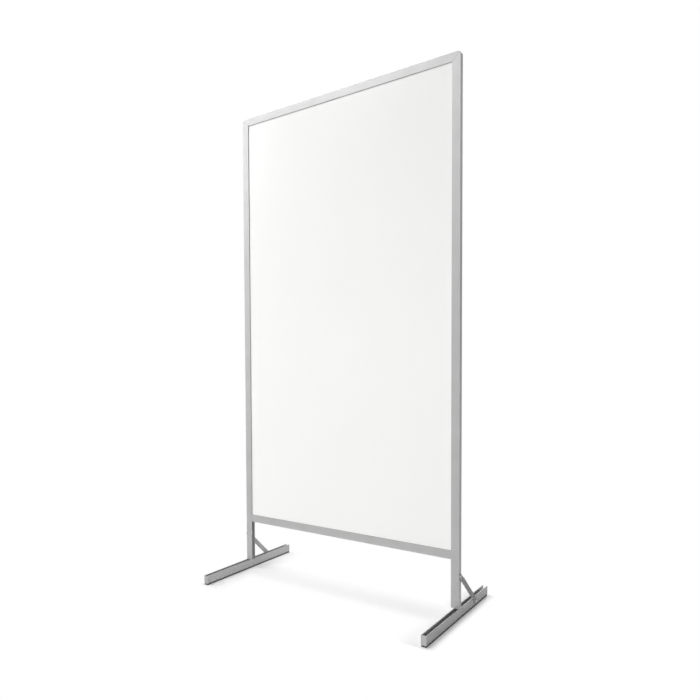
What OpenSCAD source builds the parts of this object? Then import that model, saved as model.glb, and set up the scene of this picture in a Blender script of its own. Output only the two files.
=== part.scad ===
// Free-standing two-sided whiteboard divider.
// A white board in a frame of open channels, on two channel feet with a brace behind each.
// X runs to the right seen from the front, Y to the back and Z up.
// The origin is on the floor, midway between the feet.

/* [Overall] */
// Width over the two uprights
overall_w = 900; // [600:10:1500]
// Height from the floor to the top of the frame
overall_h = 1800; // [1000:10:2100]

/* [Frame] */
// Width of the frame channel seen from the front
frame_face = 28; // [27:1:40]
// Depth of the frame channel from front to back
frame_depth = 18; // [17:0.5:24]
// Wall thickness of the frame channel
frame_wall = 1.5; // [1.2:0.1:2]
// Outer radius of the two top corners
corner_r = 10; // [4:1:16]
// Height of the bottom rail's underside above the floor
rail_underside = 193; // [180:1:600]
// Hairline gap in each mitre and at each end of the bottom rail
joint_gap = 0.2; // [0.1:0.05:0.3]

/* [Board] */
// Thickness of each enamelled steel writing sheet
sheet_t = 0.5; // [0.3:0.1:0.8]
// Thickness of the core between the two sheets
core_t = 11; // [8:0.5:11]
// How far the board's edge reaches into the frame channel
board_insert = 14; // [8:0.5:14]
// Thickness of the gasket round the board's edge
gasket_base = 1.5; // [1:0.1:2]
// How far the gasket's lips stand out of the channel, along the board
gasket_lip = 0.5; // [0:0.1:1]
// Length of each block that carries the board in the bottom rail
block_length = 60; // [30:5:100]
// Distance of each block's middle from the middle of the board
block_offset = 250; // [60:5:260]

/* [Frame joints] */
// Clearance between an insert and the channel round it
fit_gap = 0.1; // [0.05:0.05:0.2]
// Clearance between an insert and the board's gasket
board_gap = 0.5; // [0.2:0.1:1]
// Length of each leg of a top corner key
key_leg = 55; // [40:1:80]
// Distance of a key's screw from the key's outer corner
key_screw_at = 38; // [26:1:38]
// How far a rail tongue reaches into the bottom rail
tongue_reach = 60; // [30:1:90]
// Distance of the rail's own screw from the end of the rail
rail_screw_at = 25; // [10:1:28]
// Diameter of the frame screws
frame_screw_d = 3.5; // [3:0.5:4]
// Length of the frame screws below the head
frame_screw_length = 12; // [8:1:14]
// Diameter of the frame screws' heads
frame_screw_head_d = 7; // [6:0.5:8]
// Height of the frame screws' heads
frame_screw_head_h = 2; // [1.5:0.1:2.5]

/* [Feet] */
// Length of each foot, with its cap
foot_length = 510; // [400:10:700]
// Width of the foot channel
foot_w = 18; // [16:0.5:24]
// Height of the foot channel
foot_h = 30; // [28:0.5:45]
// Wall thickness of the foot channel
foot_wall = 3; // [1.5:0.1:3.5]
// Outer radius of the foot channel's two lower bends
foot_bend_r = 3; // [2:0.25:5]
// Thickness of the rubber strip under each foot
strip_t = 5; // [3:0.25:6]
// Distance of the strip's edge from the side of the foot
strip_margin = 1; // [0.75:0.25:2]
// Distance of the strip's ends from the ends of the foot
strip_end = 1; // [1:1:20]
// Thickness of the cap's front plate
cap_t = 2; // [1.5:0.1:3]
// How far the cap's plug reaches into the foot
cap_plug = 12; // [6:1:30]
// Distance of the plug's top below the top of the foot
cap_plug_drop = 9; // [4:1:14]

/* [Braces] */
// Height of the upper bolt above the floor
brace_top_z = 140; // [100:1:160]
// Height of the lower bolt above the floor
brace_low_z = 16; // [15:0.5:18]
// Distance of the lower bolt behind the middle of the upright
brace_reach = 137; // [90:1:180]
// Width of the brace
brace_w = 18; // [14:0.5:18]
// Thickness of the brace's sheet metal
brace_t = 2; // [1.5:0.1:3]
// Height of the brace's two stiffening lips above its web
brace_lip = 2; // [1:0.25:4]
// Distance of the lips' ends from the bolts
brace_tab = 22; // [14:1:36]
// Reach of a leg spigot above the upper bolt
spigot_above = 15; // [10:1:18]

/* [Bolts] */
// Diameter of the brace bolts
bolt_d = 6; // [5:0.5:6]
// Diameter of the bolt heads
bolt_head_d = 10.5; // [9:0.25:12]
// Height of the bolt heads
bolt_head_h = 3.3; // [2.5:0.1:4]
// Size of the socket across its flats
bolt_socket = 4; // [3:0.5:5]
// Size of the nuts across their flats
nut_af = 10; // [9:0.5:11]
// Height of the nuts
nut_h = 5; // [4:0.25:5]
// Diameter of the washers
washer_d = 12; // [11:0.5:13]
// Thickness of the washers
washer_t = 1.2; // [0.8:0.1:1.6]
// Diameter of the screw that holds each foot to its spigot
foot_screw_d = 5; // [4:0.5:6]
// Diameter of that screw's flat head
foot_screw_head_d = 9; // [8:0.25:9.5]
// How far that screw reaches into the spigot
foot_screw_reach = 22; // [12:1:30]
// Clearance round a bolt or screw in its hole, on the diameter
hole_gap = 0.4; // [0.2:0.1:0.6]

/* [Hidden] */
$fn = 64;

// Small overrun that lets a cut pass clean through a face
cut = 1;
// Clearance of a threaded hole round its screw, on the diameter
thread_gap = 0.1;
// Clearance between the foot screw's head and the floor
floor_gap = 2;
// Room round the foot screw's head in the rubber strip
strip_hole_gap = 0.75;
// How far a bolt's end stands out of its nut
bolt_end = 1;
// Height of the straight rim of a bolt's round head
bolt_rim = 1;
// Depth of the hexagonal socket in a bolt's head
socket_depth = 1.8;
// Least radius left where a corner is moved inward by a wall
least_r = 0.5;

half_w = overall_w / 2;
half_depth = frame_depth / 2;
channel_inside = frame_depth - 2 * frame_wall;
foot_top = strip_t + foot_h;

// The opening that shows the board, and the board's own edges behind it
open_half_w = half_w - frame_face;
open_bottom = rail_underside + frame_face;
open_top = overall_h - frame_face;
board_half_w = open_half_w + board_insert;
board_bottom = open_bottom - board_insert;
board_top = open_top + board_insert;
board_t = core_t + 2 * sheet_t;

// Room between the gasket and the channel's web, and the inserts that lie there
insert_room = frame_face - frame_wall - board_insert - gasket_base;
insert_w = insert_room - board_gap;
insert_depth = channel_inside - 2 * fit_gap;
key_corner_x = half_w - frame_wall - fit_gap;
key_corner_z = overall_h - frame_wall - fit_gap;
key_w = insert_w - fit_gap;
tongue_z = rail_underside + frame_wall;
tongue_end_x = half_w - frame_wall - board_gap;

// Half the hairline gap of a mitre, measured along X or Z
mitre_shift = joint_gap * sqrt(0.5);
// Reach of the gasket's mitre wedges into the opening and away from it
wedge_in = gasket_lip + cut;
wedge_out = board_insert + gasket_base + cut;

foot_x = half_w - foot_w / 2;
foot_inside = foot_w - 2 * foot_wall;
foot_inner_r = max(foot_bend_r - foot_wall, least_r);
plug_h = foot_h - foot_wall - fit_gap - cap_plug_drop;

// The spigot clears the thicker of the two walls that it lies behind
spigot_outer_x = half_w - max(foot_wall, frame_wall) - fit_gap;
spigot_inner_x = half_w - foot_w + foot_wall + fit_gap;
spigot_w = spigot_outer_x - spigot_inner_x;
spigot_x = (spigot_outer_x + spigot_inner_x) / 2;
spigot_bottom = strip_t + foot_wall;
spigot_top = brace_top_z + spigot_above;

// Bolt places as [y, z], the faces their washers lie on, and what follows on each bolt
upper_bolt = [0, brace_top_z];
lower_bolt = [brace_reach, brace_low_z];
upper_seat_x = spigot_inner_x;
lower_seat_x = half_w - foot_wall;
stack = washer_t + nut_h + bolt_end;
brace_angle = atan2(upper_bolt[1] - lower_bolt[1], lower_bolt[0] - upper_bolt[0]);
brace_span = norm(lower_bolt - upper_bolt);

frame_color = "#b4b4b4";
board_color = "#f8f8f7";
core_color = "#c9b899";
gasket_color = "#8f9191";
rubber_color = "#474849";
insert_color = "#a3a5a6";
brace_color = "#adaeae";
bolt_color = "#b9bbbb";

// Extrudes an outline drawn in X and Z, from y to y + depth
module upright_plate(y, depth) {
    translate([0, y + depth, 0])
        rotate([90, 0, 0])
            linear_extrude(depth)
                children();
}

// Mirrors a right-hand piece to the left
module on_left() {
    mirror([1, 0, 0])
        children();
}

module on_both_sides() {
    children();
    on_left()
        children();
}

// Outline of the frame, drawn in X and Z, moved in by inset, from z = bottom up
module frame_outline(inset, bottom) {
    x = half_w - inset;
    top = overall_h - inset;
    r = max(corner_r - inset, least_r);
    translate([-x, bottom])
        square([2 * x, top - r - bottom]);
    translate([-(x - r), bottom])
        square([2 * (x - r), top - bottom]);
    for (side = [-1, 1])
        translate([side * (x - r), top - r])
            circle(r);
}

// The channel's hollow, open towards the board
module channel_hollow() {
    upright_plate(-channel_inside / 2, channel_inside)
        frame_outline(frame_wall, foot_top - cut);
}

// Puts a screw or its hole in the back of the frame at x and z, pointing to the front
module from_back(x, z) {
    translate([x, half_depth, z])
        rotate([90, 0, 0])
            children();
}

// Pan-head screw, its head on the channel's back
module frame_screw() {
    translate([0, 0, -frame_screw_head_h])
        cylinder(h = frame_screw_head_h, d = frame_screw_head_d);
    cylinder(h = frame_screw_length, d = frame_screw_d);
}

// Hole for a frame screw in the back wall of a channel
module wall_hole() {
    translate([0, 0, -cut])
        cylinder(h = frame_wall + 2 * cut, d = frame_screw_d + hole_gap);
}

// Threaded hole for a frame screw, right through an insert
module insert_hole() {
    cylinder(h = frame_depth, d = frame_screw_d + thread_gap);
}

module key_screw_places() {
    from_back(key_corner_x - key_w / 2, key_corner_z - key_screw_at)
        children();
    from_back(key_corner_x - key_screw_at, key_corner_z - key_w / 2)
        children();
}

module tongue_screw_places() {
    from_back(half_w - frame_face / 2, tongue_z + insert_w / 2)
        children();
    from_back(open_half_w - rail_screw_at, tongue_z + insert_w / 2)
        children();
}

// The mitre runs at 45 degrees through the inner and the outer corner of the frame
module side_zone() {
    mitre = overall_h - half_w - mitre_shift;
    polygon([
        [open_half_w, foot_top],
        [half_w + cut, foot_top],
        [half_w + cut, mitre + half_w + cut],
        [open_half_w, mitre + open_half_w]
    ]);
}

module top_zone() {
    polygon([
        [-(open_half_w - mitre_shift), open_top],
        [open_half_w - mitre_shift, open_top],
        [half_w + cut - mitre_shift, overall_h + cut],
        [-(half_w + cut - mitre_shift), overall_h + cut]
    ]);
}

module upright() {
    color(frame_color)
        difference() {
            upright_plate(-half_depth, frame_depth)
                intersection() {
                    frame_outline(0, foot_top);
                    side_zone();
                }
            channel_hollow();
            key_screw_places()
                wall_hole();
            tongue_screw_places()
                wall_hole();
            brace_bolt_hole(upper_bolt, frame_wall, hole_gap);
        }
}

module left_upright() {
    on_left()
        upright();
}

module right_upright() {
    upright();
}

module top_rail() {
    color(frame_color)
        difference() {
            upright_plate(-half_depth, frame_depth)
                intersection() {
                    frame_outline(0, foot_top);
                    top_zone();
                }
            channel_hollow();
            on_both_sides()
                key_screw_places()
                    wall_hole();
        }
}

module bottom_rail() {
    rail_half = open_half_w - joint_gap / 2;
    color(frame_color)
        difference() {
            translate([-rail_half, -half_depth, rail_underside])
                cube([2 * rail_half, frame_depth, frame_face]);
            translate([-half_w, -channel_inside / 2, tongue_z])
                cube([overall_w, channel_inside, frame_face]);
            on_both_sides()
                tongue_screw_places()
                    wall_hole();
        }
}

// L-shaped key behind the webs of a top corner, its outer corner round like the frame's
module corner_key() {
    r = max(corner_r - frame_wall, least_r);
    color(insert_color)
        difference() {
            upright_plate(-insert_depth / 2, insert_depth)
                translate([key_corner_x, key_corner_z])
                    rotate(180)
                        difference() {
                            union() {
                                translate([r, 0])
                                    square([key_leg - r, key_w]);
                                translate([0, r])
                                    square([key_w, key_leg - r]);
                                translate([r, r])
                                    circle(r);
                            }
                            translate([key_w, key_w])
                                square(key_leg);
                        }
            key_screw_places()
                insert_hole();
        }
}

module left_corner_key() {
    on_left()
        corner_key();
}

module right_corner_key() {
    corner_key();
}

module corner_key_screws() {
    color(bolt_color)
        on_both_sides()
            key_screw_places()
                frame_screw();
}

// Flat bar on the bottom rail's web that reaches into the upright
module rail_tongue() {
    start_x = open_half_w - tongue_reach;
    color(insert_color)
        difference() {
            translate([start_x, -insert_depth / 2, tongue_z])
                cube([tongue_end_x - start_x, insert_depth, insert_w]);
            tongue_screw_places()
                insert_hole();
        }
}

module left_rail_tongue() {
    on_left()
        rail_tongue();
}

module right_rail_tongue() {
    rail_tongue();
}

module rail_tongue_screws() {
    color(bolt_color)
        on_both_sides()
            tongue_screw_places()
                frame_screw();
}

// One layer of the board, from y to y + depth
module board_layer(y, depth) {
    translate([-board_half_w, y, board_bottom])
        cube([2 * board_half_w, depth, board_top - board_bottom]);
}

module front_writing_sheet() {
    color(board_color)
        board_layer(-board_t / 2, sheet_t);
}

module panel_core() {
    color(core_color)
        board_layer(-core_t / 2, core_t);
}

module back_writing_sheet() {
    color(board_color)
        board_layer(core_t / 2, sheet_t);
}

// Gasket ring round the board's edge, with a slot that the board fills
module gasket_ring() {
    outer_x = board_half_w + gasket_base;
    outer_bottom = board_bottom - gasket_base;
    outer_top = board_top + gasket_base;
    inner_x = open_half_w - gasket_lip;
    inner_bottom = open_bottom + gasket_lip;
    inner_top = open_top - gasket_lip;
    difference() {
        translate([-outer_x, -insert_depth / 2, outer_bottom])
            cube([2 * outer_x, insert_depth, outer_top - outer_bottom]);
        translate([-inner_x, -frame_depth, inner_bottom])
            cube([2 * inner_x, 2 * frame_depth, inner_top - inner_bottom]);
        translate([-board_half_w, -board_t / 2, board_bottom])
            cube([2 * board_half_w, board_t, board_top - board_bottom]);
    }
}

// Wedge that holds one upright side of the gasket ring, cut at 45 degrees at both ends
module side_wedge() {
    upright_plate(-frame_depth, 2 * frame_depth)
        polygon([
            [open_half_w - wedge_in + mitre_shift, open_bottom + wedge_in],
            [open_half_w + wedge_out + mitre_shift, open_bottom - wedge_out],
            [open_half_w + wedge_out + mitre_shift, open_top + wedge_out],
            [open_half_w - wedge_in + mitre_shift, open_top - wedge_in]
        ]);
}

// Wedge that holds a level side, whose edge is at z = edge and which faces up (1) or down (-1)
module level_wedge(edge, way) {
    upright_plate(-frame_depth, 2 * frame_depth)
        polygon([
            [-(open_half_w - wedge_in), edge - way * (wedge_in - mitre_shift)],
            [open_half_w - wedge_in, edge - way * (wedge_in - mitre_shift)],
            [open_half_w + wedge_out, edge + way * (wedge_out + mitre_shift)],
            [-(open_half_w + wedge_out), edge + way * (wedge_out + mitre_shift)]
        ]);
}

module side_gasket() {
    color(gasket_color)
        intersection() {
            gasket_ring();
            side_wedge();
        }
}

module left_gasket() {
    on_left()
        side_gasket();
}

module right_gasket() {
    side_gasket();
}

module top_gasket() {
    color(gasket_color)
        intersection() {
            gasket_ring();
            level_wedge(open_top, 1);
        }
}

module bottom_gasket() {
    color(gasket_color)
        intersection() {
            gasket_ring();
            level_wedge(open_bottom, -1);
        }
}

// Blocks on the bottom rail's web that the board stands on
module setting_blocks() {
    color(rubber_color)
        for (side = [-1, 1])
            translate([side * block_offset - block_length / 2, -insert_depth / 2, tongue_z])
                cube([block_length, insert_depth, insert_room - fit_gap]);
}

// Outline with two rounded lower corners, standing on zero and centred on it
module cradle(w, h, r) {
    translate([-w / 2, r])
        square([w, h - r]);
    translate([-w / 2 + r, 0])
        square([w - 2 * r, h]);
    for (side = [-1, 1])
        translate([side * (w / 2 - r), r])
            circle(r);
}

// Hole for a brace bolt, inward from the outer side of the frame or the foot
module brace_bolt_hole(place, depth, gap) {
    translate([half_w + cut, place[0], place[1]])
        rotate([0, -90, 0])
            cylinder(h = depth + 2 * cut, d = bolt_d + gap);
}

module foot() {
    color(frame_color)
        difference() {
            upright_plate(cap_t - foot_length / 2, foot_length - cap_t)
                translate([foot_x, strip_t])
                    difference() {
                        cradle(foot_w, foot_h, foot_bend_r);
                        translate([0, foot_wall])
                            cradle(foot_inside, foot_h, foot_inner_r);
                    }
            brace_bolt_hole(lower_bolt, foot_wall, hole_gap);
            translate([spigot_x, 0, strip_t - cut])
                cylinder(h = foot_wall + 2 * cut, d = foot_screw_d + hole_gap);
        }
}

module left_foot() {
    on_left()
        foot();
}

module right_foot() {
    foot();
}

// Front plate of the foot with a low plug inside the channel
module foot_cap() {
    color(frame_color) {
        upright_plate(-foot_length / 2, cap_t)
            translate([foot_x, strip_t])
                cradle(foot_w, foot_h, foot_bend_r);
        upright_plate(cap_t - foot_length / 2, cap_plug)
            translate([foot_x, strip_t + foot_wall + fit_gap])
                cradle(foot_inside - 2 * fit_gap, plug_h, foot_inner_r);
    }
}

module left_foot_cap() {
    on_left()
        foot_cap();
}

module right_foot_cap() {
    foot_cap();
}

// Strip under the foot, moulded to the channel's two bends
module foot_strip() {
    strip_w = foot_w - 2 * strip_margin;
    strip_length = foot_length - 2 * strip_end;
    color(rubber_color)
        difference() {
            upright_plate(-strip_length / 2, strip_length)
                translate([foot_x, 0])
                    difference() {
                        translate([-strip_w / 2, 0])
                            square([strip_w, strip_t + foot_bend_r]);
                        translate([0, strip_t])
                            cradle(foot_w, foot_h, foot_bend_r);
                    }
            translate([spigot_x, 0, -cut])
                cylinder(h = strip_t + 2 * cut, d = foot_screw_head_d + 2 * strip_hole_gap);
        }
}

module left_foot_strip() {
    on_left()
        foot_strip();
}

module right_foot_strip() {
    foot_strip();
}

// Bar that stands in the foot and reaches up into the upright
module leg_spigot() {
    color(insert_color)
        difference() {
            upright_plate(-insert_depth / 2, insert_depth)
                translate([spigot_x, spigot_bottom])
                    cradle(spigot_w, spigot_top - spigot_bottom, foot_inner_r);
            brace_bolt_hole(upper_bolt, foot_w, hole_gap);
            translate([spigot_x, 0, spigot_bottom - cut])
                cylinder(h = foot_screw_reach + 2 * cut, d = foot_screw_d + thread_gap);
        }
}

module left_leg_spigot() {
    on_left()
        leg_spigot();
}

module right_leg_spigot() {
    leg_spigot();
}

// Screws up through the foot into the spigot, their flat heads inside the strip's thickness
module foot_screws() {
    color(bolt_color)
        on_both_sides()
            translate([spigot_x, 0, 0]) {
                translate([0, 0, floor_gap])
                    cylinder(h = strip_t - floor_gap, d = foot_screw_head_d);
                translate([0, 0, floor_gap])
                    cylinder(h = spigot_bottom - floor_gap + foot_screw_reach, d = foot_screw_d);
            }
}

// Strut on the outer side, from the upper to the lower bolt, with a lip along both edges
module brace() {
    color(brace_color)
        translate([half_w, upper_bolt[0], upper_bolt[1]])
            rotate([-brace_angle, 0, 0])
                rotate([90, 0, 90])
                    difference() {
                        union() {
                            linear_extrude(brace_t) {
                                translate([0, -brace_w / 2])
                                    square([brace_span, brace_w]);
                                circle(d = brace_w);
                                translate([brace_span, 0])
                                    circle(d = brace_w);
                            }
                            for (edge = [-brace_w / 2, brace_w / 2 - brace_t])
                                translate([brace_tab, edge, 0])
                                    cube([brace_span - 2 * brace_tab, brace_t, brace_t + brace_lip]);
                        }
                        for (s = [0, brace_span])
                            translate([s, 0, -cut])
                                cylinder(h = brace_t + 2 * cut, d = bolt_d + hole_gap);
                    }
}

module left_brace() {
    on_left()
        brace();
}

module right_brace() {
    brace();
}

// Round-headed bolt along X, its end at end_x
module brace_bolt(place, end_x) {
    crown = bolt_head_h - bolt_rim;
    crown_r = (pow(bolt_head_d / 2, 2) + pow(crown, 2)) / (2 * crown);
    translate([half_w + brace_t, place[0], place[1]])
        rotate([0, 90, 0])
            difference() {
                intersection() {
                    cylinder(h = bolt_head_h, d = bolt_head_d);
                    translate([0, 0, bolt_head_h - crown_r])
                        sphere(crown_r);
                }
                translate([0, 0, bolt_head_h - socket_depth])
                    cylinder(h = bolt_head_h, d = bolt_socket / cos(30), $fn = 6);
            }
    translate([end_x, place[0], place[1]])
        rotate([0, 90, 0])
            cylinder(h = half_w + brace_t - end_x + cut, d = bolt_d);
}

// Where each washer lies against what the bolt clamps
module at_washer(place, seat_x) {
    translate([seat_x, place[0], place[1]])
        rotate([0, -90, 0])
            children();
}

module washer() {
    difference() {
        cylinder(h = washer_t, d = washer_d);
        translate([0, 0, -cut])
            cylinder(h = washer_t + 2 * cut, d = bolt_d + hole_gap);
    }
}

module nut() {
    translate([0, 0, washer_t])
        difference() {
            cylinder(h = nut_h, d = nut_af / cos(30), $fn = 6);
            translate([0, 0, -cut])
                cylinder(h = nut_h + 2 * cut, d = bolt_d + thread_gap);
        }
}

module brace_bolts() {
    color(bolt_color)
        on_both_sides() {
            brace_bolt(upper_bolt, upper_seat_x - stack);
            brace_bolt(lower_bolt, lower_seat_x - stack);
        }
}

module brace_washers() {
    color(bolt_color)
        on_both_sides() {
            at_washer(upper_bolt, upper_seat_x)
                washer();
            at_washer(lower_bolt, lower_seat_x)
                washer();
        }
}

module brace_nuts() {
    color(bolt_color)
        on_both_sides() {
            at_washer(upper_bolt, upper_seat_x)
                nut();
            at_washer(lower_bolt, lower_seat_x)
                nut();
        }
}

left_upright();
right_upright();
top_rail();
bottom_rail();
left_corner_key();
right_corner_key();
corner_key_screws();
left_rail_tongue();
right_rail_tongue();
rail_tongue_screws();
front_writing_sheet();
panel_core();
back_writing_sheet();
left_gasket();
right_gasket();
top_gasket();
bottom_gasket();
setting_blocks();
left_foot();
right_foot();
left_foot_cap();
right_foot_cap();
left_foot_strip();
right_foot_strip();
left_leg_spigot();
right_leg_spigot();
foot_screws();
left_brace();
right_brace();
brace_bolts();
brace_washers();
brace_nuts();
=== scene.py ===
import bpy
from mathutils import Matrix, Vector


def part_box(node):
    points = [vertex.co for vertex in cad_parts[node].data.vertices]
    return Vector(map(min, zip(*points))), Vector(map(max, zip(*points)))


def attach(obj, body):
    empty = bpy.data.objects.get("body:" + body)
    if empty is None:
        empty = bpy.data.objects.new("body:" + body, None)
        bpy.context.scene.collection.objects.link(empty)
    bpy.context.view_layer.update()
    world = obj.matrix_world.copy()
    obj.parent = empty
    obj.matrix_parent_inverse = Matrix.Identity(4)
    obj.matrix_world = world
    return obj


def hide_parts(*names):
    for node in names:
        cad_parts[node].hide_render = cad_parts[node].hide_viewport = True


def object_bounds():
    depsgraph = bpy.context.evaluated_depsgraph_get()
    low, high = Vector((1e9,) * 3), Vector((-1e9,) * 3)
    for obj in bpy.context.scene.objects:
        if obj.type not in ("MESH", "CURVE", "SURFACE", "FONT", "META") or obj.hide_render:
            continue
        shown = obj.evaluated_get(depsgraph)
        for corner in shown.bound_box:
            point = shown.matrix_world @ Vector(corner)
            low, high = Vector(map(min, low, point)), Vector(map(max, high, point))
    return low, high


bl_info = {
    "name": "Whiteboard divider",
    "version": (1, 0, 0),
    "blender": (4, 5, 0),
    "location": "3D View > Sidebar > Divider",
    "description": "Finishes a free-standing whiteboard divider and sets it on a studio floor",
    "category": "Add Mesh",
}

import math

import bmesh
import bpy
from bpy.props import FloatProperty, FloatVectorProperty, PointerProperty
from mathutils import Euler, Matrix, Vector

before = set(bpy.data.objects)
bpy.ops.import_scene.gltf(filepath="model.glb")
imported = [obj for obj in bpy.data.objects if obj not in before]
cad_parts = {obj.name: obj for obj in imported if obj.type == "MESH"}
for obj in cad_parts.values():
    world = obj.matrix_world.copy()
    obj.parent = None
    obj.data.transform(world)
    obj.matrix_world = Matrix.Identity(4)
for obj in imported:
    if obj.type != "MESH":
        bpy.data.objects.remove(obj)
CAD_BOX = [list(corner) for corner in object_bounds()]

# The directions in which each part's metal was drawn through its die or rolled
ALONG_X = (1, 0, 0)
ALONG_Y = (0, 1, 0)
ALONG_Z = (0, 0, 1)

# Points nearer than this are one point, in metres
SAME_POINT = 1e-6
# Edges shorter than this are closed up, in metres
SHORTEST_EDGE = 2e-6
# Points nearer to a plane than this lie on it, in metres
ON_PLANE = 1e-5
# Faces that meet at less than this angle are one flat face
FLAT_ANGLE = math.radians(0.5)
# Edges whose faces meet at more than this angle are rounded
ROUNDED_ANGLE = math.radians(30)
# Edges whose faces meet at less than this angle are shaded as smooth
SMOOTH_ANGLE = math.radians(40)

# Steps of a full turn on the lathe
LATHE_STEPS = 48
# Points nearer than this on a turned shape are one point, in mm
SAME_TURNED_POINT = 1e-4
# Rows of faces from the middle of a screw's crown to its rim
CROWN_ROWS = 8
# How far a cutting tool stands out of what it cuts, in mm
OVERRUN = 1


def linear(hex_colour):
    """The linear colour that a shader takes, from an sRGB colour written as #rrggbb."""
    shares = [int(hex_colour[i:i + 2], 16) / 255 for i in (1, 3, 5)]
    return tuple(s / 12.92 if s <= 0.04045 else ((s + 0.055) / 1.055) ** 2.4 for s in shares)


def colour_property(name, description, hex_colour):
    return FloatVectorProperty(
        name=name, description=description, subtype="COLOR", size=3, min=0, max=1,
        default=linear(hex_colour))


def length_property(name, description, millimetres):
    return FloatProperty(
        name=name, description=description, subtype="DISTANCE", unit="LENGTH", min=0,
        default=millimetres / 1000)


class ChannelSettings(bpy.types.PropertyGroup):
    colour: colour_property("Anodised colour", "Colour of the satin anodised channels", "#b4b4b4")
    edge_radius: length_property("Edge radius", "Rounding of the channels' extruded edges", 0.4)
    line_width: length_property(
        "Die line width", "Spacing of the fine lines that the die leaves along a channel", 1.5)


class BoardSettings(bpy.types.PropertyGroup):
    colour: colour_property("Enamel colour", "Colour of the enamelled writing sheets", "#f8f8f7")
    ripple: length_property("Ripple", "Spacing of the faint waves in the fired enamel", 9)
    sheet_radius: length_property("Sheet radius", "Rounding of the writing sheets' edges", 0.1)
    core_colour: colour_property("Core colour", "Colour of the fibreboard core", "#c9b899")
    core_radius: length_property("Core radius", "Rounding of the core's sawn edges", 0.2)
    gasket_colour: colour_property(
        "Gasket colour", "Colour of the gasket round the board", "#8f9191")
    gasket_radius: length_property("Gasket radius", "Rounding of the gasket's lips", 0.2)


class FootSettings(bpy.types.PropertyGroup):
    edge_radius: length_property("Edge radius", "Rounding of the edges of the foot channels", 0.5)
    cap_radius: length_property("Cap radius", "Rounding of the edges of the foot caps", 0.45)
    # The dark rubber is the blocks' own colour. On the strips under the feet it is also painted
    # shade: a real anti-slip strip that stands in for the shade along each foot channel's lower
    # bend.
    rubber_and_shade_colour: colour_property(
        "Rubber colour", "Colour of the rubber strips and blocks", "#474849")
    rubber_radius: length_property("Rubber radius", "Rounding of the edges of the rubber", 0.4)


class BraceSettings(bpy.types.PropertyGroup):
    colour: colour_property("Paint colour", "Colour of the powder coat on the braces", "#adaeae")
    bend_radius: length_property(
        "Bend radius", "Rounding of a brace's back rim, where its edges are folded", 1.5)
    edge_radius: length_property("Edge radius", "Rounding of the braces' painted edges", 0.35)
    bolt_seat: length_property(
        "Bolt seat", "How far from a bolt's middle the brace's back keeps its sharp edges", 5)
    grain: length_property("Paint grain", "Spacing of the fine bumps in the powder coat", 2)


class FastenerSettings(bpy.types.PropertyGroup):
    colour: colour_property(
        "Zinc colour", "Colour of the zinc-plated bolts, nuts and screws", "#b9bbbb")
    insert_colour: colour_property(
        "Insert colour", "Colour of the mill-finish keys, tongues and spigots", "#a3a5a6")
    edge_radius: length_property(
        "Edge radius", "Rounding of the edges of washers, keys, tongues and spigots", 0.25)


class StageSettings(bpy.types.PropertyGroup):
    camera_place: FloatVectorProperty(
        name="Camera place", description="Where the camera stands", subtype="TRANSLATION",
        unit="LENGTH", size=3, default=(1.19811, -1.89786, 0.81873))
    camera_turn: FloatVectorProperty(
        name="Camera turn", description="How the camera is turned", subtype="EULER",
        unit="ROTATION", size=3, default=tuple(math.radians(a) for a in (87.8345, 0.4175, 36.9979)))
    camera_shift: FloatVectorProperty(
        name="Camera shift",
        description="How far the view is moved to the right and up, in picture widths",
        size=2, precision=4, default=(0.0863094, 0.0574395))
    lens: FloatProperty(
        name="Lens", description="Focal length on a 36 mm sensor", subtype="DISTANCE_CAMERA",
        unit="CAMERA", default=31.7728)
    floor_radius: length_property("Floor radius", "Radius of the floor", 6000)
    floor_paint: FloatProperty(
        name="Floor paint", description="Share of the light that the floor's paint gives back",
        subtype="FACTOR", min=0, max=1, default=0.8)
    floor_lift: FloatProperty(
        name="Floor lift", description="Whiteness added to the floor for the camera", min=0,
        default=0.245)
    shadow_core: length_property(
        "Shadow core", "How far from the feet and the board the shadow is whole", 20)
    shadow_edge: length_property(
        "Shadow edge", "How far from the feet and the board the shadow ends", 100)
    shadow_squeeze: FloatProperty(
        name="Shadow squeeze",
        description="How many times narrower the shadow is on the feet's outer sides",
        min=1, default=2.5)
    shadow_end_squeeze: FloatProperty(
        name="Shadow end squeeze",
        description="How many times narrower the shadow is past the feet's ends",
        min=1, default=6)


def add(tree, kind, inputs=None, **settings):
    """Adds one node. The settings are its own, and each input is a value or a socket to link."""
    node = tree.nodes.new(kind)
    for name, value in settings.items():
        setattr(node, name, value)
    for name, value in (inputs or {}).items():
        if isinstance(value, bpy.types.NodeSocket):
            tree.links.new(value, node.inputs[name])
        else:
            node.inputs[name].default_value = value
    return node


def maths(tree, operation, *values):
    """The result of an operation on the values."""
    inputs = dict(enumerate(values))
    return add(tree, "ShaderNodeMath", inputs, operation=operation).outputs["Value"]


def object_place(tree):
    """Where a point lies on its own piece."""
    return add(tree, "ShaderNodeTexCoord").outputs["Object"]


def noise(tree, place, scale, detail):
    return add(tree, "ShaderNodeTexNoise", {
        "Vector": place, "Scale": scale, "Detail": detail}).outputs["Fac"]


def drawn_lines(tree, place, direction, along, across):
    """Noise in lines, as a die or a roll leaves them, with one scale along them and one across."""
    scales = [along if part else across for part in direction]
    stretched = add(tree, "ShaderNodeMapping", {"Vector": place, "Scale": scales})
    return noise(tree, stretched.outputs["Vector"], scale=1.0, detail=2.0)


def spread(tree, value, low, high, start=0.0, end=1.0):
    """The value, which runs from start to end, spread from low to high."""
    return add(tree, "ShaderNodeMapRange", {
        "Value": value, "From Min": start, "From Max": end, "To Min": low,
        "To Max": high}).outputs["Result"]


def shades(tree, factor, colour, dark, light):
    """The colour, from its dark share where the factor is 0 to its light share where it is 1."""
    return add(tree, "ShaderNodeMix", {
        "Factor": factor, "A": shade(colour, dark), "B": shade(colour, light)},
        data_type="RGBA").outputs["Result"]


def shade(colour, share):
    """The share of the colour, as a node takes it."""
    return (*(min(c * share, 1.0) for c in colour), 1.0)


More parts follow.
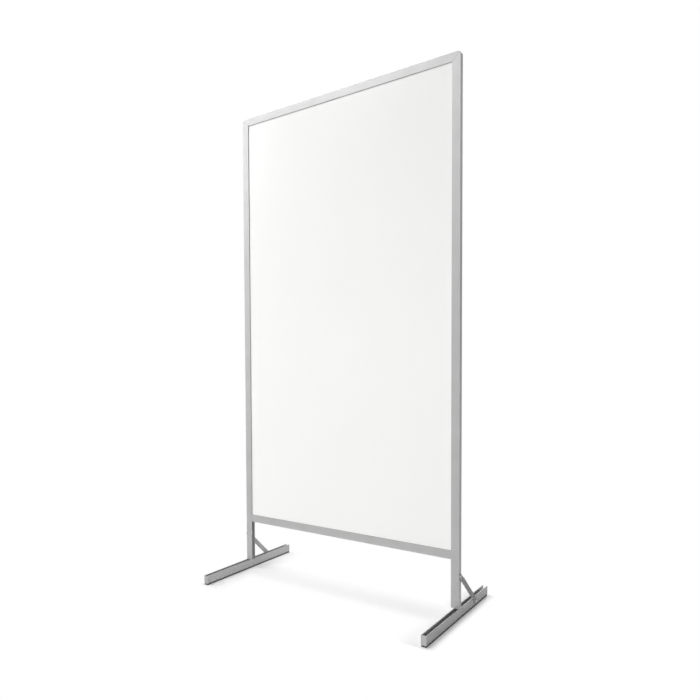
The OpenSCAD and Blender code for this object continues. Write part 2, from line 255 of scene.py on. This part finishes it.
def relief(tree, height, strength, depth):
    """The normal of a surface with fine bumps, whose full depth is in metres."""
    return add(tree, "ShaderNodeBump", {
        "Height": height, "Strength": strength, "Distance": depth}).outputs["Normal"]


def bare_material(name):
    """A material without nodes, and its node tree."""
    material = bpy.data.materials.new(name)
    material.use_nodes = True
    material.node_tree.nodes.clear()
    return material, material.node_tree


def cover(tree, inputs):
    """Covers the material with a surface that takes these inputs."""
    surface = add(tree, "ShaderNodeBsdfPrincipled", inputs).outputs["BSDF"]
    add(tree, "ShaderNodeOutputMaterial", {"Surface": surface})


def satin_anodised_aluminium(name, colour, direction, line_width):
    """Extruded aluminium, etched and anodised. The etch and the oxide scatter the light to a soft
    satin grey, so it is metallic only in part. The die leaves fine lines along the channel, drawn
    wider here than they are, because the real ones don't show."""
    material, tree = bare_material(name)
    place = object_place(tree)
    lines = drawn_lines(tree, place, direction, along=2.5, across=1 / line_width)
    clouds = noise(tree, place, scale=14.0, detail=1.0)
    tone = spread(tree, maths(tree, "ADD", lines, clouds), 0.0, 1.0, start=0.7, end=1.3)
    cover(tree, {
        "Base Color": shades(tree, tone, colour, dark=0.95, light=1.05), "Metallic": 0.35,
        "Roughness": spread(tree, lines, 0.38, 0.46, start=0.3, end=0.7),
        "Normal": relief(tree, lines, strength=0.25, depth=0.00005)})
    return material


def fired_enamel(name, colour, ripple):
    """Glossy porcelain enamel fired on steel sheet. It flows a little in the kiln, so its shine has
    faint waves, and wiping leaves it slightly duller in patches."""
    material, tree = bare_material(name)
    place = object_place(tree)
    waves = noise(tree, place, scale=1 / ripple, detail=1.0)
    wiped = noise(tree, place, scale=5.0, detail=3.0)
    cover(tree, {
        "Base Color": shades(tree, wiped, colour, dark=0.992, light=1.0), "IOR": 1.5,
        "Roughness": spread(tree, wiped, 0.17, 0.22, start=0.3, end=0.7),
        "Normal": relief(tree, waves, strength=0.1, depth=0.00005)})
    return material


def powder_coat(name, colour, grain):
    """Grey powder coat baked on steel. It levels to a satin skin with a fine orange peel."""
    material, tree = bare_material(name)
    peel = noise(tree, object_place(tree), scale=1 / grain, detail=2.0)
    cover(tree, {
        "Base Color": shades(tree, peel, colour, dark=0.96, light=1.04), "IOR": 1.5,
        "Roughness": spread(tree, peel, 0.4, 0.55),
        "Normal": relief(tree, peel, strength=0.3, depth=0.0001)})
    return material


def moulded_rubber(name, colour, grain=0.0015):
    """Moulded rubber with a dry, matte skin and a fine grain."""
    material, tree = bare_material(name)
    skin = noise(tree, object_place(tree), scale=1 / grain, detail=2.0)
    cover(tree, {
        "Base Color": shades(tree, skin, colour, dark=0.85, light=1.15), "IOR": 1.52,
        "Roughness": spread(tree, skin, 0.68, 0.85),
        "Normal": relief(tree, skin, strength=0.3, depth=0.0001)})
    return material


def fibreboard(name, colour):
    """Pressed wood fibre, matte, with the darker flecks of its longer fibres."""
    material, tree = bare_material(name)
    fibres = noise(tree, object_place(tree), scale=400.0, detail=3.0)
    cover(tree, {
        "Base Color": shades(tree, fibres, colour, dark=0.7, light=1.15), "IOR": 1.45,
        "Roughness": spread(tree, fibres, 0.75, 0.9)})
    return material


def mill_finish_aluminium(name, colour, direction):
    """Aluminium bar as it left the mill: bright, with drawn lines along it."""
    material, tree = bare_material(name)
    lines = drawn_lines(tree, object_place(tree), direction, along=8, across=900)
    cover(tree, {
        "Base Color": shades(tree, lines, colour, dark=0.9, light=1.1), "Metallic": 1.0,
        "Roughness": spread(tree, lines, 0.28, 0.42)})
    return material


def zinc_plate(name, colour):
    """Bright zinc plate on steel, a thin bluish-white metal with a slightly cloudy shine."""
    material, tree = bare_material(name)
    cloud = noise(tree, object_place(tree), scale=500.0, detail=2.0)
    cover(tree, {
        "Base Color": shades(tree, cloud, colour, dark=0.9, light=1.08), "Metallic": 1.0,
        "Roughness": spread(tree, cloud, 0.28, 0.44)})
    return material


def clean_shape(node):
    """A bmesh copy of a CAD node, its loose triangles joined to whole flat faces."""
    shape = bmesh.new()
    shape.from_mesh(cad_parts[node].data)
    bmesh.ops.remove_doubles(shape, verts=shape.verts, dist=SAME_POINT)
    bmesh.ops.dissolve_limit(
        shape, angle_limit=FLAT_ANGLE, verts=shape.verts, edges=shape.edges)
    return shape


def sharp_edges(shape):
    """The edges that the real piece has rounded."""
    return [e for e in shape.edges if e.is_manifold and e.calc_face_angle(0) > ROUNDED_ANGLE]


def round_edges(shape, edges, radius, segments=2):
    """Rounds the edges. Overlaps aren't held back, because the short edges of the CAD's arcs would
    then hold back every radius."""
    bmesh.ops.bevel(
        shape, geom=edges, offset=radius, offset_type="OFFSET", segments=segments, profile=0.5,
        affect="EDGES", clamp_overlap=False, material=-1)


def place_piece(shape, name, material, nodes):
    """Makes the shape a piece that stands for the CAD nodes, with the given material, and hides the
    nodes.
    """
    mesh = bpy.data.meshes.new(name)
    bmesh.ops.dissolve_degenerate(shape, dist=SHORTEST_EDGE, edges=shape.edges)
    for face in shape.faces:
        face.smooth = True
    for edge in shape.edges:
        edge.smooth = edge.calc_face_angle(0) < SMOOTH_ANGLE
    shape.to_mesh(mesh)
    shape.free()
    mesh.materials.append(material)
    piece = bpy.data.objects.new(name, mesh)
    bpy.context.scene.collection.objects.link(piece)
    shading = piece.modifiers.new("Even shading", "WEIGHTED_NORMAL")
    shading.keep_sharp = True
    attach(piece, "root")
    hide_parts(*nodes)


def finished_copy(node, radius, material, segments=2):
    """A piece with the CAD node's shape and its sharp edges rounded, as on the real one."""
    shape = clean_shape(node)
    round_edges(shape, sharp_edges(shape), radius, segments)
    place_piece(shape, node + "_finished", material, [node])


def turned(outline):
    """A solid turned about Z. The outline gives radii and heights in mm, from axis to axis."""
    shape = bmesh.new()
    corners = [shape.verts.new((radius, 0, height)) for radius, height in outline]
    sides = [shape.edges.new(pair) for pair in zip(corners, corners[1:])]
    bmesh.ops.spin(
        shape, geom=corners + sides, cent=(0, 0, 0), axis=(0, 0, 1), angle=math.tau,
        steps=LATHE_STEPS, use_merge=True)
    bmesh.ops.remove_doubles(shape, verts=shape.verts, dist=SAME_TURNED_POINT)
    bmesh.ops.recalc_face_normals(shape, faces=shape.faces)
    return shape


def hexagon_bar(flats, low, high):
    """A six-sided bar in mm along Z, measured across its flats."""
    shape = bmesh.new()
    corner_radius = flats / 2 / math.cos(math.pi / 6)
    bmesh.ops.create_circle(shape, cap_ends=True, segments=6, radius=corner_radius)
    bmesh.ops.translate(shape, vec=(0, 0, low), verts=shape.verts)
    top = bmesh.ops.extrude_face_region(shape, geom=shape.faces[:])["geom"]
    bmesh.ops.translate(
        shape, vec=(0, 0, high - low), verts=[v for v in top if isinstance(v, bmesh.types.BMVert)])
    bmesh.ops.recalc_face_normals(shape, faces=shape.faces)
    return shape


def tapered_blade(length, width, low, high):
    """One wing of a cross-shaped driver bit in mm. Its low end has 0.4 of the length and 0.7 of
    the width."""
    shape = bmesh.new()
    middle_z = (high + low) / 2
    bmesh.ops.create_cube(shape, size=1)
    bmesh.ops.scale(shape, vec=(length, width, high - low), verts=shape.verts)
    bmesh.ops.translate(shape, vec=(0, 0, middle_z), verts=shape.verts)
    bmesh.ops.scale(
        shape, vec=(0.4, 0.7, 1), verts=[v for v in shape.verts if v.co.z < middle_z])
    return shape


def carve(shape, tool, operation="DIFFERENCE"):
    """The shape after the tool is cut out of it, or after what lies outside the tool is cut off."""
    parts = []
    for solid in (shape, tool):
        mesh = bpy.data.meshes.new("carving")
        solid.to_mesh(mesh)
        solid.free()
        part = bpy.data.objects.new("carving", mesh)
        bpy.context.scene.collection.objects.link(part)
        parts.append(part)
    cutting = parts[0].modifiers.new("Cutting", "BOOLEAN")
    cutting.object = parts[1]
    cutting.operation = operation
    cutting.solver = "EXACT"
    result = bmesh.new()
    result.from_object(parts[0], bpy.context.evaluated_depsgraph_get())
    for part in parts:
        mesh = part.data
        bpy.data.objects.remove(part)
        bpy.data.meshes.remove(mesh)
    return result


def add_copies(whole, shape, places):
    """Adds the shape, in mm, to the whole one at each of the places, which are matrices."""
    single = bpy.data.meshes.new("single")
    shape.to_mesh(single)
    shape.free()
    for place in places:
        start = len(whole.verts)
        whole.from_mesh(single)
        whole.verts.ensure_lookup_table()
        bmesh.ops.transform(
            whole, matrix=place @ Matrix.Scale(0.001, 4), verts=whole.verts[start:])
    bpy.data.meshes.remove(single)


def separate_boxes(node):
    """The lowest and the highest corner of each solid in a CAD node, from left to right."""
    shape = clean_shape(node)
    left = set(shape.verts)
    boxes = []
    while left:
        found = [left.pop()]
        for vert in found:
            near = {edge.other_vert(vert) for edge in vert.link_edges} & left
            left -= near
            found.extend(near)
        boxes.append(tuple(
            Vector(pick(v.co[i] for v in found) for i in range(3)) for pick in (min, max)))
    shape.free()
    return sorted(boxes, key=lambda box: tuple(box[0]))


def middle(box):
    return (box[0] + box[1]) / 2


def turned_by(degrees, axis):
    return Matrix.Rotation(math.radians(degrees), 4, axis)


def crowned_head(radius, height, rim):
    """Half outline of a round screw head in mm, from the top of its crown to its underside, whose
    edge is broken."""
    broken = 0.25
    rise = height - rim
    bend = (radius ** 2 + rise ** 2) / (2 * rise)
    rings = [radius * row / CROWN_ROWS for row in range(CROWN_ROWS + 1)]
    crown = [(ring, height - bend + math.sqrt(bend ** 2 - ring ** 2)) for ring in rings]
    return crown + [(radius, broken), (radius - broken, 0)]


def threaded_shank(radius, plain, end, pitch):
    """Half outline of a shank in mm below z = 0: plain at first, then threaded, with a chamfered
    end. The thread is 0.6 of its pitch deep, and its flat crest takes 0.2 of the pitch."""
    depth = 0.6 * pitch
    outline = [(radius, 0)]
    for turn in range(int((end - plain - depth) / pitch)):
        top = -plain - turn * pitch
        outline += [
            (radius, top - 0.1 * pitch), (radius - depth, top - 0.5 * pitch),
            (radius, top - 0.9 * pitch)]
    return outline + [(radius, depth - end), (radius - depth, -end), (0, -end)]


def button_bolt(length, threaded, radius, pitch, head_radius, head_height, rim, socket,
                socket_depth):
    """Round-headed bolt with a hexagonal socket, in mm, its head up and its underside on z = 0."""
    plain = max(length - threaded, 0)
    bolt = turned(crowned_head(head_radius, head_height, rim)
                  + threaded_shank(radius, plain, length, pitch))
    return carve(bolt, hexagon_bar(socket, head_height - socket_depth, head_height + OVERRUN))


def cross_screw(length, radius, pitch, head_radius, head_height, rim, recess):
    """Screw with a cross-shaped recess, in mm, its head up and its underside on z = 0. The recess
    is as wide as given. Each of its wings has 0.26 of that in width and 0.45 in depth."""
    plain = 0.5
    screw = turned(crowned_head(head_radius, head_height, rim)
                   + threaded_shank(radius, plain, length, pitch))
    for degrees in (0, 90):
        blade = tapered_blade(
            recess, 0.26 * recess, head_height - 0.45 * recess, head_height + OVERRUN)
        bmesh.ops.transform(blade, matrix=turned_by(degrees, "Z"), verts=blade.verts)
        screw = carve(screw, blade)
    return screw


def chamfered_nut(flats, height, bore, chamfer):
    """Hexagonal nut in mm, standing on z = 0. Its corners are turned off at 30 degrees at both
    ends, just inside the flats, and the chamfer is that of the bore."""
    inner = flats / 2 - 0.1
    outer = inner + 2 * OVERRUN
    slope = (outer - inner) * math.tan(math.pi / 6)
    nut = carve(hexagon_bar(flats, 0, height), turned([
        (0, 0), (inner, 0), (outer, slope), (outer, height - slope), (inner, height),
        (0, height)]), "INTERSECT")
    wide = bore + chamfer
    return carve(nut, turned([
        (0, -OVERRUN), (wide, -OVERRUN), (wide, 0), (bore, chamfer), (bore, height - chamfer),
        (wide, height), (wide, height + OVERRUN), (0, height + OVERRUN)]))


class DIVIDER_OT_channels(bpy.types.Operator):
    """Finishes the two uprights and the two rails that frame the board"""

    bl_idname = "divider.channels"
    bl_label = "Frame channels"

    def execute(self, context):
        settings = context.scene.divider_channels
        upright = satin_anodised_aluminium(
            "Satin anodised aluminium, upright", settings.colour, ALONG_Z, settings.line_width)
        rail = satin_anodised_aluminium(
            "Satin anodised aluminium, rail", settings.colour, ALONG_X, settings.line_width)
        for node in ("left_upright", "right_upright"):
            finished_copy(node, settings.edge_radius, upright)
        for node in ("top_rail", "bottom_rail"):
            finished_copy(node, settings.edge_radius, rail)
        return {"FINISHED"}


class DIVIDER_OT_board(bpy.types.Operator):
    """Finishes the writing sheets, the core between them and the gasket and blocks round them"""

    bl_idname = "divider.board"
    bl_label = "Board"

    def execute(self, context):
        settings = context.scene.divider_board
        feet = context.scene.divider_feet
        enamel = fired_enamel("Fired white enamel", settings.colour, settings.ripple)
        for node in ("front_writing_sheet", "back_writing_sheet"):
            finished_copy(node, settings.sheet_radius, enamel, segments=1)
        core = fibreboard("Fibreboard", settings.core_colour)
        finished_copy("panel_core", settings.core_radius, core, segments=1)
        seal = moulded_rubber("Gasket rubber", settings.gasket_colour)
        for side in ("left", "right", "top", "bottom"):
            finished_copy(side + "_gasket", settings.gasket_radius, seal)
        blocks = moulded_rubber("Block rubber", feet.rubber_and_shade_colour)
        finished_copy("setting_blocks", feet.rubber_radius, blocks)
        return {"FINISHED"}


class DIVIDER_OT_feet(bpy.types.Operator):
    """Finishes the two foot channels with their caps and rubber strips. The strips' dark rubber
    also paints the shade under the channels' lower bends.
    """

    bl_idname = "divider.feet"
    bl_label = "Feet"

    def execute(self, context):
        settings = context.scene.divider_feet
        channels = context.scene.divider_channels
        metal = satin_anodised_aluminium(
            "Satin anodised aluminium, foot", channels.colour, ALONG_Y, channels.line_width)
        # Dark rubber strip under each foot: a real anti-slip strip whose dark band also paints the
        # shade under the foot's lower bend.
        rubber = moulded_rubber("Strip rubber and painted shade", settings.rubber_and_shade_colour)
        for side in ("left", "right"):
            finished_copy(side + "_foot", settings.edge_radius, metal)
            finished_copy(side + "_foot_cap", settings.cap_radius, metal, segments=3)
            finished_copy(side + "_foot_strip", settings.rubber_radius, rubber)
        return {"FINISHED"}


class DIVIDER_OT_braces(bpy.types.Operator):
    """Finishes the slanted brace behind each upright"""

    bl_idname = "divider.braces"
    bl_label = "Braces"

    def execute(self, context):
        settings = context.scene.divider_braces
        paint = powder_coat("Grey powder coat", settings.colour, settings.grain)
        for node in ("left_brace", "right_brace"):
            back = min(abs(corner[0]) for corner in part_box(node))
            shape = clean_shape(node)
            rim = self.back_rim(shape, back, settings.bolt_seat)
            round_edges(shape, rim, settings.bend_radius, segments=4)
            folded = back + settings.bend_radius
            outer = [e for e in sharp_edges(shape) if min(abs(v.co.x) for v in e.verts) > folded]
            round_edges(shape, outer, settings.edge_radius)
            place_piece(shape, node + "_finished", paint, [node])
        return {"FINISHED"}

    def back_rim(self, shape, back, bolt_seat):
        """The sharp edges round the brace's back, which is at x = back, without its bolt holes."""
        bolts = [middle(box).yz for box in separate_boxes("brace_bolts")]
        return [
            edge for edge in sharp_edges(shape)
            if all(abs(abs(v.co.x) - back) < ON_PLANE for v in edge.verts)
            and all((edge.verts[0].co.yz - bolt).length > bolt_seat for bolt in bolts)]


class DIVIDER_OT_fasteners(bpy.types.Operator):
    """Makes the bolts, nuts and screws with sockets, recesses and threads, and the washers"""

    bl_idname = "divider.fasteners"
    bl_label = "Fasteners"

    def execute(self, context):
        settings = context.scene.divider_fasteners
        zinc = zinc_plate("Bright zinc plate", settings.colour)
        self.bolts(zinc)
        self.nuts(zinc)
        self.frame_screws(zinc)
        self.foot_screws(zinc)
        finished_copy("brace_washers", settings.edge_radius, zinc)
        return {"FINISHED"}

    def bolts(self, zinc):
        """Each bolt lies along X with its head on the outer side."""
        head = 3.3
        whole = bmesh.new()
        for low, high in separate_boxes("brace_bolts"):
            side = math.copysign(1, low.x)
            seat = side * (max(abs(low.x), abs(high.x)) - head / 1000)
            place = (Matrix.Translation((seat, *middle((low, high)).yz))
                     @ turned_by(side * 90, "Y") @ turned_by(90, "Z"))
            bolt = button_bolt(
                (high.x - low.x) * 1000 - head, threaded=12.0, radius=3.0, pitch=1.0,
                head_radius=5.25, head_height=head, rim=1.0, socket=4.0, socket_depth=1.8)
            add_copies(whole, bolt, [place])
        place_piece(whole, "brace_bolts_finished", zinc, ["brace_bolts"])

    def nuts(self, zinc):
        """Each nut lies along X, with two of its flats upright."""
        boxes = separate_boxes("brace_nuts")
        size = (boxes[-1][1] - boxes[-1][0]) * 1000
        whole = bmesh.new()
        add_copies(whole, chamfered_nut(flats=size.y, height=size.x, bore=3.05, chamfer=0.35), [
            Matrix.Translation((low.x, *middle((low, high)).yz))
            @ turned_by(90, "Y") @ turned_by(90, "Z") for low, high in boxes])
        place_piece(whole, "brace_nuts_finished", zinc, ["brace_nuts"])

    def frame_screws(self, zinc):
        """The frame's screws point to the front."""
        head = 2.0
        for node in ("corner_key_screws", "rail_tongue_screws"):
            boxes = separate_boxes(node)
            size = (boxes[-1][1] - boxes[-1][0]) * 1000
            screw = cross_screw(
                size.y - head, radius=1.75, pitch=1.2, head_radius=3.5, head_height=head, rim=0.7,
                recess=3.4)
            whole = bmesh.new()
            add_copies(whole, screw, [
                Matrix.Translation((middle(box).x, box[1].y - head / 1000, middle(box).z))
                @ turned_by(-90, "X") @ turned_by(45, "Z") for box in boxes])
            place_piece(whole, node + "_finished", zinc, [node])

    def foot_screws(self, zinc):
        """The feet's screws point up."""
        head = 3.0
        boxes = separate_boxes("foot_screws")
        size = (boxes[-1][1] - boxes[-1][0]) * 1000
        screw = cross_screw(
            size.z - head, radius=2.5, pitch=1.0, head_radius=4.5, head_height=head, rim=1.4,
            recess=4.4)
        whole = bmesh.new()
        add_copies(whole, screw, [
            Matrix.Translation((*middle(box).xy, box[0].z + head / 1000)) @ turned_by(180, "X")
            for box in boxes])
        place_piece(whole, "foot_screws_finished", zinc, ["foot_screws"])


class DIVIDER_OT_inserts(bpy.types.Operator):
    """Finishes the bars inside the frame's joints"""

    bl_idname = "divider.inserts"
    bl_label = "Inserts"

    def execute(self, context):
        settings = context.scene.divider_fasteners
        inserts = (("corner_key", ALONG_X), ("rail_tongue", ALONG_X), ("leg_spigot", ALONG_Z))
        for kind, direction in inserts:
            metal = mill_finish_aluminium(
                "Mill finish aluminium, " + kind, settings.insert_colour, direction)
            for side in ("left", "right"):
                finished_copy(side + "_" + kind, settings.edge_radius, metal)
        return {"FINISHED"}


def seen_directly(tree):
    """1 for a ray from the camera and for one that a surface mirrors or lets through."""
    rays = add(tree, "ShaderNodeLightPath").outputs
    mirrored = maths(tree, "MAXIMUM", rays["Is Camera Ray"], rays["Is Glossy Ray"])
    return maths(tree, "MAXIMUM", mirrored, rays["Is Transmission Ray"])


def distance(tree, x, y):
    """How far a point is from another, given how far it is along X and along Y."""
    both = add(tree, "ShaderNodeCombineXYZ", {"X": x, "Y": y}).outputs["Vector"]
    return add(tree, "ShaderNodeVectorMath", {0: both}, operation="LENGTH").outputs["Value"]


def studio_floor(name, settings, foot_at, foot_reach):
    """White painted studio floor. It shows the divider's shadow close to the feet, whose middles
    are at x = foot_at on each side and which reach to y = foot_reach, and below the board. Further
    out, to the camera and in reflections, it runs into the same white as the surroundings."""
    material, tree = bare_material(name)
    either_side = add(
        tree, "ShaderNodeVectorMath", {0: object_place(tree)}, operation="ABSOLUTE")
    place = add(tree, "ShaderNodeSeparateXYZ", {"Vector": either_side.outputs["Vector"]}).outputs
    beyond = maths(tree, "SUBTRACT", place["X"], foot_at)
    outside = maths(tree, "MULTIPLY", beyond, settings.shadow_squeeze)
    inside = maths(tree, "MULTIPLY", beyond, -1.0)
    past = maths(tree, "SUBTRACT", place["Y"], foot_reach)
    past = maths(tree, "MULTIPLY", past, settings.shadow_end_squeeze)
    from_foot = distance(
        tree, maths(tree, "MAXIMUM", outside, inside), maths(tree, "MAXIMUM", past, 0.0))
    from_board = distance(tree, maths(tree, "MAXIMUM", outside, 0.0), place["Y"])
    fade = add(tree, "ShaderNodeMapRange", {
        "Value": maths(tree, "MINIMUM", from_foot, from_board),
        "From Min": settings.shadow_core, "From Max": settings.shadow_edge},
        interpolation_type="SMOOTHSTEP").outputs["Result"]

    seen = seen_directly(tree)
    paint = add(tree, "ShaderNodeBsdfDiffuse", {
        "Color": (*[settings.floor_paint] * 3, 1.0)}).outputs["BSDF"]
    lift = add(tree, "ShaderNodeEmission", {"Strength": settings.floor_lift}).outputs["Emission"]
    lift = add(tree, "ShaderNodeMixShader", {"Fac": seen, 2: lift}).outputs["Shader"]
    near = add(tree, "ShaderNodeAddShader", {0: paint, 1: lift}).outputs["Shader"]
    far = add(tree, "ShaderNodeEmission", {"Strength": 1.0}).outputs["Emission"]
    surface = add(tree, "ShaderNodeMixShader", {
        "Fac": maths(tree, "MULTIPLY", seen, fade), 1: near, 2: far}).outputs["Shader"]
    add(tree, "ShaderNodeOutputMaterial", {"Surface": surface})
    return material


def white_surroundings():
    """White to the camera and in reflections. The lamps alone light the divider."""
    world = bpy.data.worlds.new("White surroundings")
    world.use_nodes = True
    tree = world.node_tree
    tree.nodes.clear()
    white = add(tree, "ShaderNodeBackground", {"Color": (1.0, 1.0, 1.0, 1.0), "Strength": 1.0})
    shown = add(tree, "ShaderNodeMixShader", {
        "Fac": seen_directly(tree), 2: white.outputs["Background"]})
    output = add(tree, "ShaderNodeOutputWorld", {"Surface": shown.outputs["Shader"]})
    output.is_active_output = True
    return world


# Soft lamps as name, place, the point each faces, size in metres, power in watts and whether
# shiny surfaces mirror it. The low ones aren't mirrored, because they would glare on the enamel.
LAMPS = [
    ("High front softbox", (-1.5, -1.79, 3.89), (0, 0, 0.9), 1.6, 64, True),
    ("Left front softbox", (-2.91, -1.68, 2.68), (0, 0, 0.9), 1.6, 31, True),
    ("Low left softbox", (-3.28, -1.89, 1.23), (0, 0, 0.9), 1.6, 11.4, True),
    ("Front softbox", (0.0, -3.36, 2.68), (0, 0, 0.9), 1.6, 6, True),
    ("Low front softbox", (0.9, -2.6, 0.5), (0.2, 0, 0.4), 0.8, 28, False),
    ("Rear softbox", (0, 3.29, 2.8), (0, 0, 0.9), 1.6, 40, True),
    ("Rear overhead softbox", (0, 0.9, 4.0), (0, 0, 0), 1.2, 13, True),
    ("Left floor lamp", (-1.7, -0.6, 0.4), (-0.3, 0, 0.0), 0.6, 3.8, False),
    ("Left rear floor lamp", (-1.7, 0.9, 0.6), (-0.3, 0, 0.0), 0.6, 4.5, False),
    ("Right rear floor lamp", (0.3, 0.8, 0.2), (-0.45, 0, 0.08), 0.25, 3.4, False),
]


def soft_lamp(name, place, target, size, power, mirrored):
    """A round lamp that the camera doesn't see."""
    data = bpy.data.lights.new(name, "AREA")
    data.shape = "DISK"
    data.size = size
    data.energy = power
    lamp = bpy.data.objects.new(name, data)
    lamp.location = place
    aim = Vector(target) - Vector(place)
    lamp.rotation_euler = aim.to_track_quat("-Z", "Y").to_euler()
    lamp.visible_camera = False
    lamp.visible_glossy = mirrored
    bpy.context.scene.collection.objects.link(lamp)


class DIVIDER_OT_stage(bpy.types.Operator):
    """Makes the floor, the surroundings, the lamps and the camera"""

    bl_idname = "divider.stage"
    bl_label = "Stage"

    def execute(self, context):
        settings = context.scene.divider_stage
        self.floor(context.scene, settings)
        context.scene.world = white_surroundings()
        for lamp in LAMPS:
            soft_lamp(*lamp)
        self.camera(context.scene, settings)
        context.scene.view_settings.view_transform = "Standard"
        return {"FINISHED"}

    def floor(self, scene, settings):
        shape = bmesh.new()
        bmesh.ops.create_circle(shape, cap_ends=True, segments=96, radius=settings.floor_radius)
        mesh = bpy.data.meshes.new("studio_floor")
        shape.to_mesh(mesh)
        shape.free()
        foot_at = sum(corner[0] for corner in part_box("right_foot")) / 2
        foot_reach = CAD_BOX[1][1]
        mesh.materials.append(
            studio_floor("Painted studio floor", settings, foot_at, foot_reach))
        floor = bpy.data.objects.new("studio_floor", mesh)
        scene.collection.objects.link(floor)

    def camera(self, scene, settings):
        view = bpy.data.cameras.new("Photograph view")
        view.lens = settings.lens
        view.sensor_width = 36
        view.shift_x, view.shift_y = settings.camera_shift
        view.clip_start = 0.05
        view.clip_end = 50
        camera = bpy.data.objects.new("Photograph view", view)
        camera.location = settings.camera_place
        camera.rotation_euler = Euler(settings.camera_turn)
        scene.collection.objects.link(camera)
        scene.camera = camera


SETTINGS = {
    "divider_channels": ChannelSettings,
    "divider_board": BoardSettings,
    "divider_feet": FootSettings,
    "divider_braces": BraceSettings,
    "divider_fasteners": FastenerSettings,
    "divider_stage": StageSettings,
}

OPERATORS = (
    DIVIDER_OT_channels, DIVIDER_OT_board, DIVIDER_OT_feet, DIVIDER_OT_braces,
    DIVIDER_OT_fasteners, DIVIDER_OT_inserts, DIVIDER_OT_stage)


class DIVIDER_PT_panel(bpy.types.Panel):
    """Lists the settings and the steps that finish the divider"""

    bl_idname = "DIVIDER_PT_panel"
    bl_label = "Whiteboard divider"
    bl_space_type = "VIEW_3D"
    bl_region_type = "UI"
    bl_category = "Divider"

    def draw(self, context):
        for name in SETTINGS:
            settings = getattr(context.scene, name)
            box = self.layout.box()
            for key in settings.__annotations__:
                box.prop(settings, key)
        for operator in OPERATORS:
            self.layout.operator(operator.bl_idname)


def register():
    for item in (*SETTINGS.values(), *OPERATORS, DIVIDER_PT_panel):
        bpy.utils.register_class(item)
    for name, settings in SETTINGS.items():
        setattr(bpy.types.Scene, name, PointerProperty(type=settings))


def unregister():
    for name in SETTINGS:
        delattr(bpy.types.Scene, name)
    for item in (DIVIDER_PT_panel, *reversed(OPERATORS), *SETTINGS.values()):
        bpy.utils.unregister_class(item)


def main():
    register()
    bpy.ops.divider.channels()
    bpy.ops.divider.board()
    bpy.ops.divider.feet()
    bpy.ops.divider.braces()
    bpy.ops.divider.fasteners()
    bpy.ops.divider.inserts()
    bpy.ops.divider.stage()


if __name__ == "__main__":
    main()
